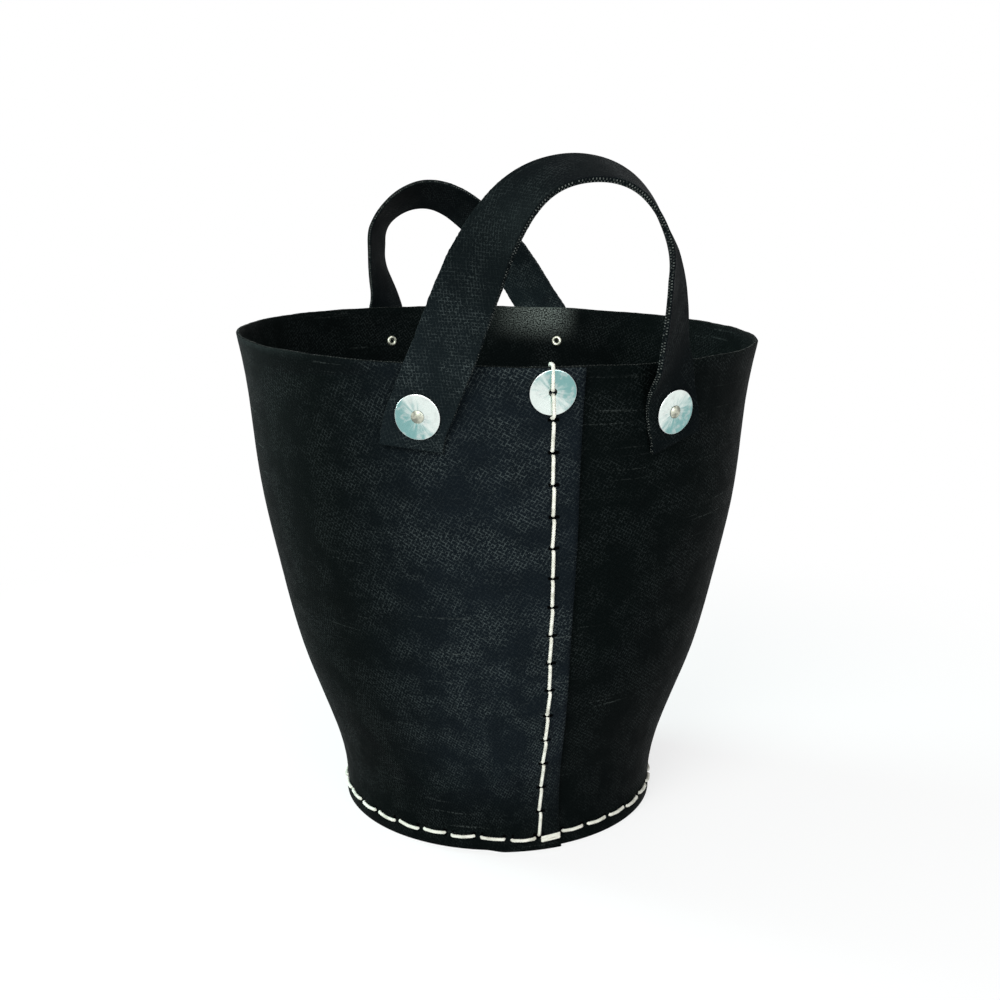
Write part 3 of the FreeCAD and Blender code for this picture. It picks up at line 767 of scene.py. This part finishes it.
TACK_CORD = 0.0016
TACK_BEND = 0.0010
TACK_WRAPS = 4
TACK_LEFT = 4.2
TACK_RIGHT = 10.5
TACK_SLANT = 0.0014
corners = []
for k in range(TACK_WRAPS):
    level = 0.0068 + 0.0011 * k
    for azimuth, out, slant in ((TACK_LEFT, BEHIND_FOOT, 0.0), (TACK_LEFT, 0.0004, 0.0),
                                (TACK_RIGHT, 0.0006, TACK_SLANT), (TACK_RIGHT, BEHIND_FOOT, TACK_SLANT)):
        corners.append(place(azimuth, radius(level) + SHEET + LAP_GAP + out, level + slant))
tack = twisted_cord("tack_thread", corners, TACK_CORD, TACK_BEND, twine)
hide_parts("corner_tack")


# The washers: bright zinc-plated penny washers, 30 mm across, pulled a little hollow by their
# rivets. Turning marks run round them, and the plating is scratched. Each is painted bluer
# towards one side: partly the plating's blue tint, partly a painted reflection.
ZINC = (0.78, 0.86, 0.82, 1)
BLUE_TINT_AND_PAINTED_REFLECTION = (0.22, 0.42, 0.41, 1)
DULLED = (0.62, 0.66, 0.64, 1)
SCRATCHED = (0.30, 0.34, 0.35, 1)
BRIGHT_EDGE = (0.80, 0.83, 0.82, 1)


def washer_finish(name, hub, outward, tint_and_reflection_toward):
    """Zinc plating round one washer's own middle, bluer towards an angle on its face: partly a blue plating
    tint, partly a painted reflection.
    """
    finish, start = begin(name)
    at = start.node("ShaderNodeTexCoord", {}, {}, "Object")
    turn = outward.to_track_quat("Z", "Y").to_matrix().transposed().to_euler()
    moved = start.node("ShaderNodeVectorMath", {"operation": "SUBTRACT"}, {0: at, 1: tuple(hub)})
    laid = start.node("ShaderNodeVectorRotate", {"rotation_type": "EULER_XYZ"},
                      {"Vector": moved, "Rotation": turn})
    x, y, z = (start.node("ShaderNodeSeparateXYZ", {}, {0: laid}, k) for k in range(3))
    out = x.maths("SQRT", x * x + y * y)
    angle = x.maths("ARCTAN2", y, x)
    ray = start.node("ShaderNodeCombineXYZ", {}, {0: angle * 2.2, 1: out * 60.0, 2: 0.0})
    fan = start.node("ShaderNodeTexNoise", {}, {"Vector": ray, "Scale": 1.6, "Detail": 3.0})
    blotch = start.node("ShaderNodeTexNoise", {}, {"Vector": laid, "Scale": 260.0, "Detail": 4.0})
    rings = out * (2 * math.pi / 0.00036) + fan * 3.0
    rings = rings.maths("SINE", rings)
    ray = start.node("ShaderNodeVectorMath", {"operation": "MULTIPLY"}, {0: laid, 1: (1.0, 0.08, 1.0)})
    scratch = start.node("ShaderNodeTexNoise", {}, {"Vector": ray, "Scale": 2600.0, "Detail": 2.0})
    scratch = scratch.over(0.66, 0.72)
    tint_and_reflection_toward = math.radians(tint_and_reflection_toward)
    # The blue side, streaked by the fan noise, is partly the plating's tint and partly a painted reflection
    # of the studio.
    blue_tint_and_reflection = x * (60.0 * math.cos(tint_and_reflection_toward)) + y * (60.0 * math.sin(tint_and_reflection_toward)) + (fan - 0.5) * 1.8 + 0.45
    zinc = blue_tint_and_reflection.over(0.0, 1.0).colour(ZINC, BLUE_TINT_AND_PAINTED_REFLECTION)
    zinc = (blotch.over(0.52, 0.70) * 0.5).colour(zinc, DULLED)
    zinc = (scratch * 0.4).colour(zinc, SCRATCHED)
    zinc = out.over(0.0145, 0.0149).colour(zinc, BRIGHT_EDGE)
    rough = 0.26 + blotch * 0.16 + scratch * 0.15
    height = rings * 0.000012 + scratch * -0.00003 + blotch * 0.00002
    bump = start.node("ShaderNodeBump", {}, {"Strength": 0.5, "Distance": 1.0, "Height": height})
    plate = start.node("ShaderNodeBsdfPrincipled", {},
                       {"Base Color": zinc, "Metallic": 1.0, "Roughness": rough, "Normal": bump})
    start.node("ShaderNodeOutputMaterial", {}, {"Surface": plate})
    return finish


WASHER_SIDES = 72


def lathe(name, profile, hub, outward, finish):
    """A profile of (radius, height) spun round an axis and stood on a point."""
    bm = bmesh.new()
    ring = [bm.verts.new((r, 0.0, h)) for r, h in profile]
    edges = [bm.edges.new((p, q)) for p, q in zip(ring, ring[1:] + ring[:1])]
    bmesh.ops.spin(bm, geom=ring + edges, cent=(0, 0, 0), axis=(0, 0, 1), angle=2 * math.pi,
                   steps=WASHER_SIDES, use_merge=True)
    bmesh.ops.remove_doubles(bm, verts=bm.verts, dist=1e-6)
    bmesh.ops.recalc_face_normals(bm, faces=bm.faces)
    stand = Matrix.Translation(hub) @ outward.to_track_quat("Z", "Y").to_matrix().to_4x4()
    bmesh.ops.transform(bm, matrix=stand, verts=bm.verts)
    for face in bm.faces:
        face.smooth = True
    mesh = bpy.data.meshes.new(name)
    bm.to_mesh(mesh)
    bm.free()
    mesh.materials.append(finish)
    piece = bpy.data.objects.new(name, mesh)
    scene.collection.objects.link(piece)
    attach(piece, "tub")
    return piece


WASHER_PROFILE = ((0.00265, 0.0002), (0.00265, 0.0009), (0.0029, 0.00105), (0.0060, 0.00112),
                  (0.0110, 0.0014), (0.0143, 0.00165), (0.0148, 0.0016), (0.0150, 0.0013),
                  (0.0150, 0.0008), (0.0147, 0.0004), (0.0110, 0.0003), (0.0060, 0.0001),
                  (0.0030, 0.0001))
WASHER_SEAT = 0.00065


def disc_axis(node):
    """The middle and the outward direction of a washer's solid."""
    low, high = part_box(node)
    middle = (low + high) / 2
    points = [v.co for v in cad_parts[node].data.vertices]
    rim = sorted(points, key=lambda p: -(p - middle).length)[:60]
    normal = Vector((0, 0, 0))
    for p in rim:
        for q in rim:
            side = (p - middle).cross(q - middle)
            if side.length > 1e-5:
                normal += side * (1 if side.dot(Vector((middle.x, middle.y, 0))) > 0 else -1)
    return middle, normal.normalized()


for node, tint_and_reflection_toward in (("seam_washer", 45.0), ("front_washer_left", 215.0), ("front_washer_right", -50.0),
                     ("rear_washer_left", 120.0), ("rear_washer_right", 60.0)):
    middle, outward = disc_axis(node)
    hub = middle - outward * WASHER_SEAT
    finish = washer_finish(node, hub, outward, tint_and_reflection_toward)
    piece = lathe(node.replace("washer", "disc"), WASHER_PROFILE, hub, outward, finish)
    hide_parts(node)


# The rivets: soft alloy tube rivets with a low domed head on the washer and the tail rolled
# over inside the tub. Their solids stay.
alloy, start = begin("rivet_metal")
at = start.node("ShaderNodeTexCoord", {}, {}, "Object")
grain = start.node("ShaderNodeTexNoise", {}, {"Vector": at, "Scale": 900.0, "Detail": 3.0})
soot = start.node("ShaderNodeTexNoise", {}, {"Vector": at, "Scale": 240.0, "Detail": 3.0})
metal = soot.over(0.40, 0.62).colour((0.56, 0.57, 0.47, 1), (0.24, 0.25, 0.21, 1))
bump = start.node("ShaderNodeBump", {}, {"Strength": 0.5, "Distance": 1.0, "Height": grain * 0.00006})
head = start.node("ShaderNodeBsdfPrincipled", {}, {"Base Color": metal, "Metallic": 1.0, "Normal": bump,
                                                  "Roughness": 0.34 + grain * 0.2})
start.node("ShaderNodeOutputMaterial", {}, {"Surface": head})
for strap in ("front", "rear"):
    for side in ("left", "right"):
        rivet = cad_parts[f"{strap}_rivet_{side}"]
        rivet.data.materials.clear()
        rivet.data.materials.append(alloy)
